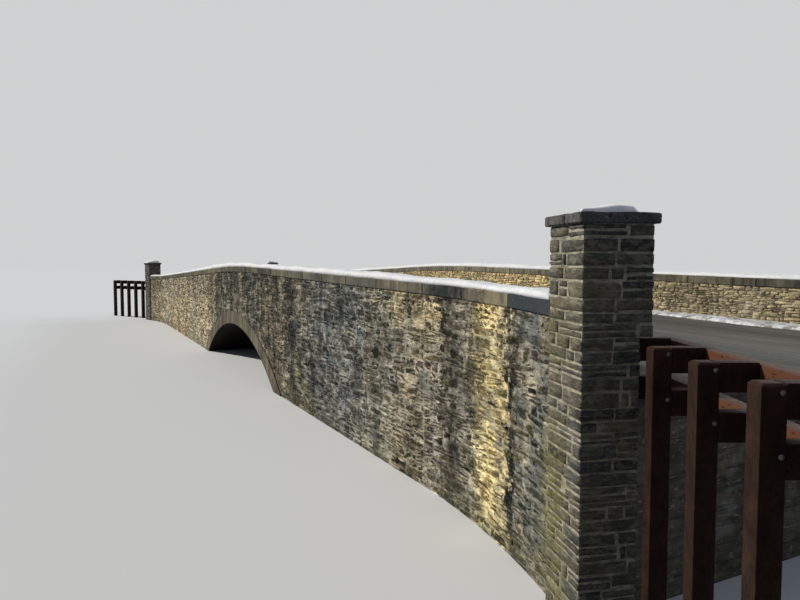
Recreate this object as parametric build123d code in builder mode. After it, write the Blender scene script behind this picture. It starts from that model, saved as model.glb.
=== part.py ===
"""Rubble-stone road bridge with one segmental arch, flared wing walls and timber approach rails.

All sizes are millimetres of the 1:2 model, so a real size is twice the number written here.
+X runs along the road, -Y is the face seen in the photograph, +Z is up and the floor is z = 0,
the lowest level where the masonry meets ground or water. The origin is on the floor under the
middle of the road, halfway between the two ends. Sizes along the road count from the crown of
the arch, which stands to the right of it.
"""

import os
from math import cos, radians, sin, tan

from build123d import *

# Plan of the two faces: straight from the crown of the arch to a flare at each end pillar.
# The left end is askew, so the far wall runs on further there than the near one.
right_straight = 7825
near_left_straight = 10355
far_left_straight = 13165
bridge_width = 5000
wall_thickness = 250
flare_radius = 8000
flare_angle = 15.7

# Long section: two grades that meet over the arch and a level stretch on the left from sag_shift
# on, each change rounded by the same curve. Shifts count from the crown of the arch.
apex_height = 2041
apex_shift = 50
right_end_height = 1850
left_end_height = 1617
sag_shift = -12000
grade_radius = 58000

# Parapet, coping and road
parapet_height = 550
coping_thickness = 100
coping_overhang = 20
road_thickness = 60

# Segmental arch, its span taken at the floor
arch_span = 5600
arch_rise = 875
ring_thickness = 250
ring_proud = 14

# Square end pillars with overhanging caps
pillar_side = 415
pillar_proud = 25
pillar_rise = 505
cap_thickness = 60
cap_overhang = 30
recess_depth = 75
recess_rise = 370

# Timber approach rails, laid out from the outer corner of each pillar
rail_angle = 26.8
post_side = 95
post_count = 6
post_spacing = 487.5
first_post = 214
post_offset = 285
post_rise = 355
post_chamfer = 12
block_depth = 172
block_width = 90
block_height = 130
upper_block_rise = 355
lower_block_rise = 137
rail_thickness = 80
rail_height = 125
upper_rail_rise = 345
lower_rail_rise = 127
rail_tail = 130
rail_overlap = 330

# Values worked out from the sizes above
straights = {
    (-1, +1): right_straight,
    (+1, +1): right_straight,
    (-1, -1): near_left_straight,
    (+1, -1): far_left_straight,
}
crown_place = (max(near_left_straight, far_left_straight) - right_straight) / 2
half_width = bridge_width / 2
arch_radius = ((arch_span / 2) ** 2 + arch_rise**2) / (2 * arch_rise)
arch_centre = arch_rise - arch_radius
extrados_radius = arch_radius + ring_thickness
end_heights = {+1: right_end_height, -1: left_end_height}
end_names = {+1: "right", -1: "left"}
side_names = {-1: "near", +1: "far"}


def flare_point(inset, angle):
    """Plan point of a flare, at a depth behind its outer face: x from the start of the flare
    towards the pillar, y from the centre line towards the face."""
    radius = flare_radius + inset
    turn = radians(angle)
    return (radius * sin(turn), half_width + flare_radius - radius * cos(turn))


def shifted(point, angle, along, inward):
    """Plan point moved along a direction turned outwards by an angle, and square to it."""
    turn = radians(angle)
    return (
        point[0] + along * cos(turn) + inward * sin(turn),
        point[1] + along * sin(turn) - inward * cos(turn),
    )


flare_end = flare_point(0, flare_angle)
inner_end = flare_point(wall_thickness, flare_angle)
pillar_corner = shifted(flare_end, flare_angle, pillar_side, -pillar_proud)
right_end = crown_place + right_straight + pillar_corner[0]
left_end = -right_end


def in_corner(side, end, point):
    """A plan point of a flare placed in any of the four corners."""
    return (crown_place + end * (straights[side, end] + point[0]), side * point[1])


def below_grade(drop):
    """Side view of everything under the coping's top line lowered by a drop."""
    with BuildSketch(Plane.XZ) as region:
        with BuildLine():
            grade = FilletPolyline(
                (left_end, left_end_height - drop),
                (crown_place + sag_shift, left_end_height - drop),
                (crown_place + apex_shift, apex_height - drop),
                (right_end, right_end_height - drop),
                radius=grade_radius,
            )
            Polyline(grade @ 1, (right_end, 0), (left_end, 0), grade @ 0)
        make_face()
    return region.sketch


def keep_below_grade(drop):
    """Cut the part under work down to the grade line lowered by a drop."""
    extrude(below_grade(drop), amount=bridge_width * 2, both=True, mode=Mode.INTERSECT)


def cut_below_grade(drop):
    """Take away what lies under the grade line lowered by a drop."""
    extrude(below_grade(drop), amount=bridge_width * 2, both=True, mode=Mode.SUBTRACT)


def arch_disc(radius):
    """A round slab across the whole bridge, centred on the arch."""
    with BuildSketch(Plane.XZ) as disc:
        with Locations((crown_place, arch_centre)):
            Circle(radius)
    return disc.sketch


def straight_band(side, outer, inner):
    """Plan of a wall or coping over the straight middle, between two insets."""
    right, left = straights[side, +1], straights[side, -1]
    with BuildSketch() as band:
        with Locations((crown_place + (right - left) / 2, side * (half_width - (outer + inner) / 2))):
            Rectangle(right + left, inner - outer)
    return band.sketch


def flare_points(side, end, inset):
    """Start, middle and end of one flare's arc at an inset from the outer face."""
    return [in_corner(side, end, flare_point(inset, share * flare_angle)) for share in (0, 0.5, 1)]


def flared_band(side, end, outer, inner):
    """Plan of a wall or coping along one flare, between two insets from the outer face."""
    with BuildSketch() as band:
        with BuildLine():
            outside = ThreePointArc(*flare_points(side, end, outer))
            inside = ThreePointArc(*flare_points(side, end, inner))
            Line(outside @ 0, inside @ 0)
            Line(outside @ 1, inside @ 1)
        make_face()
    return band.sketch


def road_plan():
    """Plan of the space between the walls, from one end of the road to the other."""
    with BuildSketch() as plan:
        with BuildLine():
            edges = {}
            for side in (-1, +1):
                for end in (+1, -1):
                    edges[side, end] = ThreePointArc(*flare_points(side, end, wall_thickness))
                Line(edges[side, +1] @ 0, edges[side, -1] @ 0)
            for end in (+1, -1):
                Line(edges[-1, end] @ 1, edges[+1, end] @ 1)
        make_face()
    return plan.sketch


def finish(part, name):
    """Label a finished piece and write its file."""
    part.label = name
    export_step(part, f"parts/{name}.step")
    return part


def pillar(side, end):
    """Square shaft at the end of a wing wall, narrower on the road side below the rails."""
    centre = shifted(flare_end, flare_angle, pillar_side / 2, pillar_side / 2 - pillar_proud)
    recess = shifted(flare_end, flare_angle, pillar_side / 2, pillar_side - pillar_proud - recess_depth / 2)
    turn = side * end * flare_angle
    shaft_height = end_heights[end] + pillar_rise - cap_thickness
    recess_height = end_heights[end] - parapet_height + recess_rise
    with BuildPart() as shaft:
        with BuildSketch():
            with Locations(in_corner(side, end, centre)):
                Rectangle(pillar_side, pillar_side, rotation=turn)
        extrude(amount=shaft_height)
        with BuildSketch():
            with Locations(in_corner(side, end, recess)):
                Rectangle(pillar_side, recess_depth, rotation=turn)
        extrude(amount=recess_height, mode=Mode.SUBTRACT)
    return finish(shaft.part, f"{side_names[side]}_{end_names[end]}_pillar")


def pillar_cap(side, end):
    """Flat overhanging cap of one pillar."""
    centre = shifted(flare_end, flare_angle, pillar_side / 2, pillar_side / 2 - pillar_proud)
    width = pillar_side + 2 * cap_overhang
    with BuildPart() as cap:
        with BuildSketch(Plane.XY.offset(end_heights[end] + pillar_rise - cap_thickness)):
            with Locations(in_corner(side, end, centre)):
                Rectangle(width, width, rotation=side * end * flare_angle)
        extrude(amount=cap_thickness)
    return finish(cap.part, f"{side_names[side]}_{end_names[end]}_pillar_cap")


def spandrel_wall(side):
    """Straight wall and parapet in one face, open over the arch ring."""
    with BuildPart() as wall:
        extrude(straight_band(side, 0, wall_thickness), amount=apex_height)
        keep_below_grade(coping_thickness)
        extrude(arch_disc(extrados_radius), amount=bridge_width, both=True, mode=Mode.SUBTRACT)
    return finish(wall.part, f"{side_names[side]}_spandrel_wall")


def wing_wall(side, end):
    """Curved wall and parapet between the spandrel and the pillar."""
    with BuildPart() as wall:
        extrude(flared_band(side, end, 0, wall_thickness), amount=apex_height)
        keep_below_grade(coping_thickness)
    return finish(wall.part, f"{side_names[side]}_{end_names[end]}_wing_wall")


def coping(band, name):
    """Flat coping slabs that follow the grade on top of a wall."""
    with BuildPart() as slabs:
        extrude(band, amount=apex_height)
        keep_below_grade(0)
        cut_below_grade(coping_thickness)
    return finish(slabs.part, name)


def arch_length(start, depth, name):
    """A length of the arch between two planes across the bridge."""
    with BuildPart() as vault:
        with BuildSketch(Plane.XZ.offset(-start)):
            with Locations((crown_place, arch_centre)):
                Circle(extrados_radius)
                Circle(arch_radius, mode=Mode.SUBTRACT)
            with Locations((crown_place, 0)):
                Rectangle(2 * extrados_radius, apex_height, align=(Align.CENTER, Align.MIN), mode=Mode.INTERSECT)
        extrude(amount=-depth)
    return finish(vault.part, name)


def road_fill(pillars):
    """Packed fill between the walls, carried over the arch."""
    with BuildPart() as fill:
        extrude(road_plan(), amount=apex_height)
        keep_below_grade(parapet_height + road_thickness)
        extrude(arch_disc(extrados_radius), amount=bridge_width, both=True, mode=Mode.SUBTRACT)
        add(pillars, mode=Mode.SUBTRACT)
    return finish(fill.part, "road_fill")


def end_block(end, low_drop, high_drop, pillars):
    """Solid across the end of the road, between the two pillars of that end."""
    corners = [in_corner(side, end, inner_end) for side in (-1, +1)]
    outside = [(x + end * wall_thickness, y) for x, y in reversed(corners)]
    with BuildPart() as block:
        with BuildSketch():
            with BuildLine():
                Polyline(*corners, *outside, close=True)
            make_face()
        extrude(amount=apex_height)
        keep_below_grade(high_drop)
        if low_drop is not None:
            cut_below_grade(low_drop)
        add(pillars, mode=Mode.SUBTRACT)
    return block.part


def end_wall(end, pillars):
    """Plain wall that holds the fill at one end of the road."""
    part = end_block(end, None, parapet_height + road_thickness, pillars)
    return finish(part, f"{end_names[end]}_end_wall")


def road_surface(pillars):
    """Asphalt between the parapets, run out over both end walls."""
    with BuildPart() as road:
        extrude(road_plan(), amount=apex_height)
        keep_below_grade(parapet_height)
        cut_below_grade(parapet_height + road_thickness)
        for end in (+1, -1):
            add(end_block(end, parapet_height + road_thickness, parapet_height, pillars))
        add(pillars, mode=Mode.SUBTRACT)
    return finish(road.part, "road_surface")


def approach_posts(side, end):
    """Square timber posts of one approach, down to the floor."""
    places = [
        shifted(pillar_corner, rail_angle, first_post + number * post_spacing, post_offset + post_side / 2)
        for number in range(post_count)
    ]
    with BuildPart() as posts:
        with BuildSketch():
            with Locations(*[in_corner(side, end, place) for place in places]):
                Rectangle(post_side, post_side, rotation=side * end * rail_angle)
        extrude(amount=end_heights[end] - parapet_height + post_rise)
        chamfer(posts.faces().group_by(Axis.Z)[-1].edges(), length=post_chamfer)
    return finish(posts.part, f"{side_names[side]}_{end_names[end]}_approach_posts")


def approach_blocks(side, end, shaft):
    """Timber blocks that hold the rails off the posts and off the pillar."""
    middle = post_offset + post_side + block_depth / 2
    places = [
        shifted(pillar_corner, rail_angle, first_post + number * post_spacing, middle)
        for number in range(post_count)
    ]
    turn = side * end * rail_angle
    reach = post_offset + post_side + block_depth
    pillar_block = shifted(pillar_corner, rail_angle, -pillar_side / 2, reach / 2)
    road = end_heights[end] - parapet_height
    with BuildPart() as blocks:
        for rise in (upper_block_rise, lower_block_rise):
            with BuildSketch(Plane.XY.offset(road + rise - block_height)):
                with Locations(*[in_corner(side, end, place) for place in places]):
                    Rectangle(block_width, block_depth, rotation=turn)
                with Locations(in_corner(side, end, pillar_block)):
                    Rectangle(block_width, reach, rotation=turn)
            extrude(amount=block_height)
        add(shaft, mode=Mode.SUBTRACT)
    return finish(blocks.part, f"{side_names[side]}_{end_names[end]}_approach_blocks")


def approach_rails(side, end):
    """Upper and lower timber rail of one approach."""
    last_post = first_post + (post_count - 1) * post_spacing
    length = rail_overlap + last_post + rail_tail
    centre = shifted(
        pillar_corner,
        rail_angle,
        length / 2 - rail_overlap,
        post_offset + post_side + block_depth + rail_thickness / 2,
    )
    road = end_heights[end] - parapet_height
    with BuildPart() as rails:
        for rise in (upper_rail_rise, lower_rail_rise):
            with BuildSketch(Plane.XY.offset(road + rise - rail_height)):
                with Locations(in_corner(side, end, centre)):
                    Rectangle(length, rail_thickness, rotation=side * end * rail_angle)
            extrude(amount=rail_height)
    return finish(rails.part, f"{side_names[side]}_{end_names[end]}_approach_rails")


os.makedirs("parts", exist_ok=True)

# Arch: a face ring on each side and the barrel between them
arch_length(-half_width - ring_proud, wall_thickness + ring_proud, "near_arch_ring")
arch_length(half_width - wall_thickness, wall_thickness + ring_proud, "far_arch_ring")
arch_length(-half_width + wall_thickness, bridge_width - 2 * wall_thickness, "arch_barrel")

# Walls, copings and pillars on both sides, then the timber approaches at the four corners
coping_edges = (-coping_overhang, wall_thickness + coping_overhang)
shafts = {}
for side in (-1, +1):
    spandrel_wall(side)
    coping(straight_band(side, *coping_edges), f"{side_names[side]}_middle_coping")
    for end in (+1, -1):
        wing_wall(side, end)
        coping(flared_band(side, end, *coping_edges), f"{side_names[side]}_{end_names[end]}_coping")
        shafts[side, end] = pillar(side, end)
        pillar_cap(side, end)
        approach_posts(side, end)
        approach_blocks(side, end, shafts[side, end])
        approach_rails(side, end)

# Fill, end walls and road
pillars = list(shafts.values())
road_fill(pillars)
for end in (+1, -1):
    end_wall(end, pillars)
road_surface(pillars)
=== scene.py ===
"""Finish of the 1:2 stone arch bridge: laid stones, slabs, timber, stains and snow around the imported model.

Metres, in the model's own frame: +X along the road, -Y is the near face, the floor is z = 0.
"""

from math import atan2, cos, hypot, pi, radians, sin

import bmesh
import bpy
import numpy as np
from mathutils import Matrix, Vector


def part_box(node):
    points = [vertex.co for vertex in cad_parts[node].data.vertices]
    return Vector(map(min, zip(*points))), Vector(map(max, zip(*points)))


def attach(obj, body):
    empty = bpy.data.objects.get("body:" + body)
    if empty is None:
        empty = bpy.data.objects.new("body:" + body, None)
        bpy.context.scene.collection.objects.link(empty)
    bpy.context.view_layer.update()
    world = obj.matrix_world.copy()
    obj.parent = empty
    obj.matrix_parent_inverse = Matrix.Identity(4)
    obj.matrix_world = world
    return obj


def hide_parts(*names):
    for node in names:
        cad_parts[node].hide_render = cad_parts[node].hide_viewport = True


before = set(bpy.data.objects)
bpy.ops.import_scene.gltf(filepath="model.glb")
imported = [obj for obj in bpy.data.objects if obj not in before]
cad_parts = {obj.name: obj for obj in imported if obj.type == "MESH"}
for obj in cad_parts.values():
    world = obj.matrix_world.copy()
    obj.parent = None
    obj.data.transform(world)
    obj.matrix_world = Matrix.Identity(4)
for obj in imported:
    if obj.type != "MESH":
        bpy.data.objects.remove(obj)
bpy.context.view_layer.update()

# Sizes that the model was built to
side_names = {-1: "near", +1: "far"}
end_names = {+1: "right", -1: "left"}
corners = ((-1, +1), (-1, -1), (+1, +1), (+1, -1))
corner_names = {(side, end): f"{side_names[side]}_{end_names[end]}" for side, end in corners}
crown_place = (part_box("arch_barrel")[0].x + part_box("arch_barrel")[1].x) / 2
straights = {
    (side, end): abs(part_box(side_names[side] + "_spandrel_wall")[(end + 1) // 2].x - crown_place)
    for side, end in corners
}
half_width = -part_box("near_spandrel_wall")[0].y
wall_thickness = 0.25
flare_radius = 8.0
flare_angle = radians(15.7)
coping_thickness = 0.1
coping_overhang = 0.02
parapet_height = 0.55
apex = (0.05, 2.041)
sag_place = -12.0
end_heights = {+1: 1.85, -1: 1.617}
grade_radius = 58.0
arch_centre = -4.0425
extrados_radius = 5.1675
intrados_radius = extrados_radius - 0.25
pillar_side = 0.415
pillar_proud = 0.025
pillar_rise = 0.505
cap_thickness = 0.06
cap_overhang = 0.03
recess_depth = 0.075
recess_rise = 0.37

face_ends = {corner: straight + flare_radius * flare_angle for corner, straight in straights.items()}
pillar_corner_x = flare_radius * sin(flare_angle) + pillar_side * cos(flare_angle) - pillar_proud * sin(flare_angle)
# Fall of the coping's line along +X, right and left of the apex
slopes = (
    (apex[1] - end_heights[+1]) / (straights[-1, +1] + pillar_corner_x - apex[0]),
    (apex[1] - end_heights[-1]) / (sag_place - apex[0]),
)


def bend(side, station):
    """End that a station lies towards, length of the straight wall there, and the flare's turn at the station."""
    end = 1 if station >= 0 else -1
    straight = straights[side, end]
    return end, straight, max(0.0, (abs(station) - straight) / flare_radius)


def face_point(side, station, inset):
    """Plan point behind the outer face, at a distance along that face from the crown of the arch."""
    end, straight, turn = bend(side, station)
    reach = flare_radius + inset
    x = end * (straight + reach * sin(turn)) if turn > 0 else station
    return crown_place + x, side * (half_width + flare_radius - reach * cos(turn))


def face_turn(side, station):
    """Turn about Z of the outer face at a station, counted from the road's line."""
    end, _, turn = bend(side, station)
    return side * end * turn


def grade(x):
    """Height of the coping's top: two slopes and a level left end, with a curve at each change."""
    along = x - crown_place
    line = min(apex[1] - slope * (along - apex[0]) for slope in slopes)
    line = max(line, end_heights[-1])
    for place, change in ((apex[0], slopes[0] - slopes[1]), (sag_place, slopes[1])):
        reach = grade_radius * abs(change) / 2
        line -= change * reach / 4 * max(0.0, 1 - abs(along - place) / reach) ** 2
    return line


# Weep holes of both outer faces, and places on the near face where stones have fallen out: distance from the
# crown along the face, height, and for the second their radius
weep_places = ((8.17, 1.34), (9.3, 1.26), (-8.6, 1.12))
hollows = ((6.75, 1.13, 0.075), (8.38, 1.31, 0.05), (5.2, 1.42, 0.045), (-6.3, 0.95, 0.07))


def maths(operation, flipped=False):
    """A method of Wire that adds one Math node."""

    def method(wire, *others):
        values = (*others, wire) if flipped else (wire, *others)
        return wire.node("ShaderNodeMath", {"operation": operation}, dict(enumerate(values)))

    return method


class Wire:
    """A socket of a node tree. Sums and products of it add Math nodes, and node() adds any other."""

    __add__ = __radd__ = maths("ADD")
    __mul__ = __rmul__ = maths("MULTIPLY")
    __sub__ = maths("SUBTRACT")
    __rsub__ = maths("SUBTRACT", flipped=True)
    lowest = maths("MINIMUM")
    highest = maths("MAXIMUM")
    root = maths("SQRT")
    fraction = maths("FRACT")

    def __init__(self, tree, socket=None):
        self.tree = tree
        self.socket = socket

    def node(self, kind, settings=None, sockets=None, out=0):
        made = self.tree.nodes.new(kind)
        for name, value in (settings or {}).items():
            setattr(made, name, value)
        for name, value in (sockets or {}).items():
            socket = made.inputs[name]
            if isinstance(value, Wire):
                self.tree.links.new(value.socket, socket)
            else:
                socket.default_value = (*value, 1) if socket.type == "RGBA" else value
        return Wire(self.tree, made.outputs[out])

    def length(self, other):
        """Length of a line across two values at right angles."""
        return (self * self + other * other).root()

    def between(self, low, high):
        """0 below low, 1 above high and a smooth step between them."""
        sockets = {"Value": self, "From Min": low, "From Max": high}
        return self.node("ShaderNodeMapRange", {"interpolation_type": "SMOOTHSTEP"}, sockets)

    def band(self, rise_start, rise_stop, fall_start, fall_stop):
        """1 in the middle of a range, with a smooth step up to it and one down."""
        return self.between(rise_start, rise_stop) * (1 - self.between(fall_start, fall_stop))

    def mix(self, first, second, blend="MIX"):
        """Colour mix with this value as the factor."""
        settings = {"data_type": "RGBA", "blend_type": blend}
        return self.node("ShaderNodeMix", settings, {0: self, 6: first, 7: second}, out=2)


class Finish:
    """One material, with the patterns that the masonry and timber share."""

    def __init__(self, name, roughness=0.9, specular=0.08):
        self.material = bpy.data.materials.new(name)
        self.material.use_nodes = True
        self.tree = self.material.node_tree
        self.shader = self.tree.nodes["Principled BSDF"].inputs
        self.shader["Roughness"].default_value = roughness
        self.shader["Specular IOR Level"].default_value = specular
        self.node = Wire(self.tree).node
        self.place = self.node("ShaderNodeTexCoord", out=3)
        self.x, self.y, self.z = self.axes(self.place)

    def axes(self, vector):
        outputs = self.node("ShaderNodeSeparateXYZ", {}, {0: vector}).socket.node.outputs
        return [Wire(self.tree, output) for output in outputs]

    def normal(self):
        """The three parts of the surface's direction."""
        return self.axes(self.node("ShaderNodeNewGeometry", out=1))

    def on_side(self, side, low=1.9, high=2.1):
        """1 on the walls of one side of the bridge, 0 on the road and the other side."""
        return (self.y * side).between(low, high)

    def stretched(self, stretch, shift=(0, 0, 0), place=None):
        sockets = {"Vector": place or self.place, "Scale": stretch, "Location": shift}
        return self.node("ShaderNodeMapping", {}, sockets)

    def noise(self, scale, detail=3.0, shift=(0, 0, 0), rough=0.5, place=None):
        """Noise of one scale, or of one scale for each axis."""
        stretch, scale = (scale, 1.0) if isinstance(scale, tuple) else ((1, 1, 1), scale)
        sockets = {"Vector": self.stretched(stretch, shift, place), "Scale": scale}
        return self.node("ShaderNodeTexNoise", {}, sockets | {"Detail": detail, "Roughness": rough})

    def mask(self, low, high, *pattern, **more):
        """Noise that is cut to 0 below low and to 1 above high."""
        return self.noise(*pattern, **more).between(low, high)

    def cells(self, scale, stretch=(1, 1, 1), feature="F1"):
        sockets = {"Vector": self.stretched(stretch), "Scale": scale}
        return self.node("ShaderNodeTexVoronoi", {"feature": feature}, sockets)

    def attribute(self, name, out=2):
        return self.node("ShaderNodeAttribute", {"attribute_name": name}, out=out)

    def ramp(self, value, *stops):
        made = self.node("ShaderNodeValToRGB", {}, {0: value})
        elements = made.socket.node.color_ramp.elements
        while len(elements) < len(stops):
            elements.new(0.5)
        for element, (place, color) in zip(elements, stops):
            element.position = place
            element.color = (*color, 1)
        return made

    def layers(self, color, *rows, strength=1.0):
        """Tones mixed in one after another, each with its mask, its share and, where it isn't MIX, its blend."""
        for mask, share, *tone in rows:
            color = (mask * (share * strength)).mix(color, *tone)
        return color

    def link(self, name, value):
        self.tree.links.new(value.socket, self.shader[name])

    def done(self, color, *bumps):
        """The material with its colour and with bumps on one another, each a height and the depth of its range."""
        self.link("Base Color", color)
        sockets = {"Strength": 1.0}
        for height, depth in bumps:
            sockets["Normal"] = self.node("ShaderNodeBump", {}, sockets | {"Height": height, "Distance": depth})
        if bumps:
            self.link("Normal", sockets["Normal"])
        return self.material


def depth_below_coping(finish):
    """Distance under the coping's top line, from its two slopes and level end."""
    right, left = (finish.x * -slope + (apex[1] + slope * (crown_place + apex[0])) for slope in slopes)
    return right.lowest(left).highest(end_heights[-1]) - finish.z


def from_crown(finish):
    """Distance along the road from the crown of the arch, with a ragged edge for the stains and the painted shade
    and light bands.
    """
    sway = finish.noise((3, 3, 0.8), 3, rough=0.6)
    fray = finish.noise(8, 4, (5, 5, 5), 0.75)
    return finish.x - crown_place + (sway - 0.5) * 0.3 + (fray - 0.5) * 0.5


# Stains of the walls and copings, among them painted tree shade and painted sun patches: start, stop and softness
# along the road, what they multiply the colour by, and for some the reach below the coping; the others come all the
# way down
# Near wall: soot and lime runs, with painted tree shadows as the bluish darker bands and painted sunlit patches as
# some of the bright warm bands
near_stains_and_dappled_light = (
    (-12.6, -2.3, 0.7, (1.33, 1.26, 1.12)),
    (-12.6, -2.3, 0.7, (0.72, 0.74, 0.76), 0.9),
    (-2.0, 3.3, 0.5, (0.12, 0.15, 0.18)),
    (3.3, 5.6, 0.4, (0.24, 0.3, 0.37)),
    (3.5, 5.2, 0.3, (1.15, 1.12, 1.08), 0.8),
    (4.8, 6.5, 0.3, (0.7, 0.74, 0.84)),
    (6.4, 7.1, 0.15, (1.36, 1.34, 1.25)),
    (3.40, 3.98, 0.12, (0.42, 0.43, 0.48), 1.6),
    (5.6, 7.1, 0.3, (0.54, 0.6, 0.66)),
    (5.60, 6.10, 0.12, (0.45, 0.5, 0.55), 0.8),
    (7.10, 8.08, 0.15, (0.66, 0.67, 0.67)),
    (7.10, 8.08, 0.06, (1.75, 1.62, 1.3), 0.55),
    (8.12, 8.27, 0.04, (0.15, 0.15, 0.17)),
    (8.27, 8.82, 0.1, (0.47, 0.48, 0.48)),
    (8.27, 8.5, 0.05, (0.6, 0.61, 0.64)),
    (8.76, 9.32, 0.06, (1.34, 1.26, 0.95)),
    (8.72, 9.08, 0.08, (1.42, 1.39, 1.2)),
    (8.8, 9.32, 0.06, (1.04, 1.03, 1.0), 0.7),
    (9.32, 9.45, 0.04, (0.3, 0.34, 0.4)),
    (9.34, 9.43, 0.03, (0.05, 0.07, 0.1)),
    (9.44, 10.4, 0.05, (0.31, 0.38, 0.48)),
)
# Far parapet's face to the road: brighter in the middle, partly cleaner stone and partly painted sunlight
road_face_clean_and_sunlit = ((-5.0, 4.8, 1.2, (1.9, 1.78, 1.42)),)
# Near coping: lichen and dirt, with painted shade as the bluish darker stretches and a painted sunlit stretch from
# 8.9 to 9.33
near_coping_stains_and_light = (
    (-12.6, 3.2, 0.6, (0.66, 0.72, 0.6)),
    (-1.5, 5.5, 0.5, (0.76, 0.8, 0.84)),
    (7.9, 8.88, 0.06, (0.12, 0.17, 0.24)),
    (8.9, 9.33, 0.03, (1.45, 1.42, 1.35)),
    (9.35, 10.3, 0.02, (0.8, 0.95, 1.05)),
)
# Far coping: darker over its right part
far_coping_darker_right = ((4.4, 11.0, 0.8, (0.5, 0.5, 0.5)),)
full_reach = 2.5
# Near-black painted shade for gaps, pits and hollows that the surfaces only hint at
gap_shade_black = (0.012, 0.011, 0.01)


def stained(finish, color, stains, side=-1):
    """The long stains that come down one wall from the coping's joints, and the tree shade and sun patches painted
    in with them.
    """
    if not stains:
        return color
    along = from_crown(finish)
    below = depth_below_coping(finish)
    runs = finish.mask(0.3, 0.56, (11, 11, 1.6), 4, (3, 3, 3), 0.7)
    patches = finish.mask(0.4, 0.58, 3.4, 4, (1, 4, 9), 0.7)
    here = finish.on_side(side) * (runs * 0.45 + 0.55) * (patches * 0.45 + 0.55)
    for start, stop, soft, tone, *short in stains:
        reach = short[0] if short else full_reach
        place = along.band(start - soft, start + soft, stop - soft, stop + soft)
        color = (place * (1 - below.between(reach * 0.6, reach)) * here).mix(color, tone, "MULTIPLY")
    return color


def weathered(finish, color, strength=1.0, stains=near_stains_and_dappled_light, side=-1):
    """Soot, lime, algae and warm tints that run down the walls, the warm tints partly painted dappled sunlight; wet
    at the foot, moss by the near pillar, the given stain table with its painted shade and light, and painted shade
    in the near wall's hollows.
    """
    mask = finish.mask
    along, z = finish.x - crown_place, finish.z
    near = finish.on_side(-1)
    # The near wall's last metre is the cleanest
    dirty = 1 - along.between(9.2, 9.6) * near * 0.6
    clumps = finish.noise((2.6, 2.6, 6.5), 6, (2, 7, 7), 0.8)
    speckle = finish.noise((5, 5, 17), 4, (6, 6, 2), 0.7)
    # Large warm patches: partly warm staining, partly painted dappled sunlight
    warm_tint_and_sun = mask(0.44, 0.62, (0.7, 0.7, 0.35), 2, (1.4, 4.2, 2.1))
    lime = mask(0.54, 0.66, (2.6, 2.6, 0.9), 4, (3, 8, 1), 0.65) * mask(0.42, 0.58, (5, 5, 13), 4, (4, 4, 4))
    algae = mask(0.58, 0.7, (2.4, 2.4, 0.2), 3, (9, 1, 4))
    soot = mask(0.53, 0.65, (1.5, 1.5, 0.5), 4, rough=0.65) * dirty
    soot_top = mask(0.45, 0.6, (4.2, 4.2, 0.4), 3, (5, 2, 0)) * (1 - depth_below_coping(finish).between(0.1, 0.8))
    flecks = mask(0.61, 0.65, (15, 15, 42), 3, (8, 8, 2), 0.7)
    foot = (1 - z.between(0.03, 0.5)) * mask(0.3, 0.62, 3, 4)
    moss = along.band(9.75, 9.95, 10.1, 10.32) * finish.on_side(-1, 2.3, 2.6)
    moss = moss * mask(0.42, 0.6, 30, 4, (1, 2, 9), 0.7)
    moss = moss * ((1 - z.between(0.95, 1.3)) * 0.8 + z.band(1.4, 1.55, 1.75, 1.95) * 0.5)
    color = finish.layers(
        color,
        ((1 - clumps.between(0.4, 0.48)) * dirty, 0.6, (0.36, 0.36, 0.36), "MULTIPLY"),
        (clumps.between(0.52, 0.6), 0.62, (1.65, 1.6, 1.5), "MULTIPLY"),
        ((1 - speckle.between(0.41, 0.475)) * dirty, 0.72, (0.3, 0.3, 0.3), "MULTIPLY"),
        (speckle.between(0.52, 0.585), 0.72, (1.75, 1.7, 1.6), "MULTIPLY"),
        (warm_tint_and_sun, 0.36, (1.05, 0.86, 0.55), "MULTIPLY"),
        (lime, 0.5, (0.42, 0.42, 0.39)),
        (algae, 0.35, (0.1, 0.105, 0.05)),
        (soot, 0.55, (0.032, 0.03, 0.026)),
        (soot_top, 0.5, (0.035, 0.033, 0.03)),
        (flecks, 0.5, (0.68, 0.66, 0.58)),
        strength=strength,
    )
    color = stained(finish, color, stains, side)
    if stains is near_stains_and_dappled_light:
        # Where stones have fallen out the mortar is painted near-black: painted shade in the recess
        for station, height, radius in hollows:
            away = ((along - station) * 0.8).length(z - height) + (clumps - 0.5) * 0.08
            hollow_shade = (1 - away.between(radius * 0.7, radius)) * near
            color = (hollow_shade * 0.93).mix(color, (0.011, 0.01, 0.009))
    color = moss.mix(color, (0.2, 0.19, 0.06))
    return (foot * (0.45 * strength)).mix(color, (0.07, 0.075, 0.035))


def ring_gap_shade(finish, color):
    """Open joint round the outside of the arch ring, wider on its left haunch, painted near-black as its shade."""
    across = finish.x - crown_place
    wander = (finish.noise(9, 3, (2, 2, 2)) - 0.5) * 0.05
    edges = [extrados_radius + offset for offset in (-0.024, -0.004, 0.004, 0.03)]
    joint_shade_mask = (across.length(finish.z - arch_centre) + wander).band(*edges)
    left = (across * -1).between(0.9, 1.7) * 0.8 + 0.08
    return (joint_shade_mask * left).mix(color, gap_shade_black)


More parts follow.
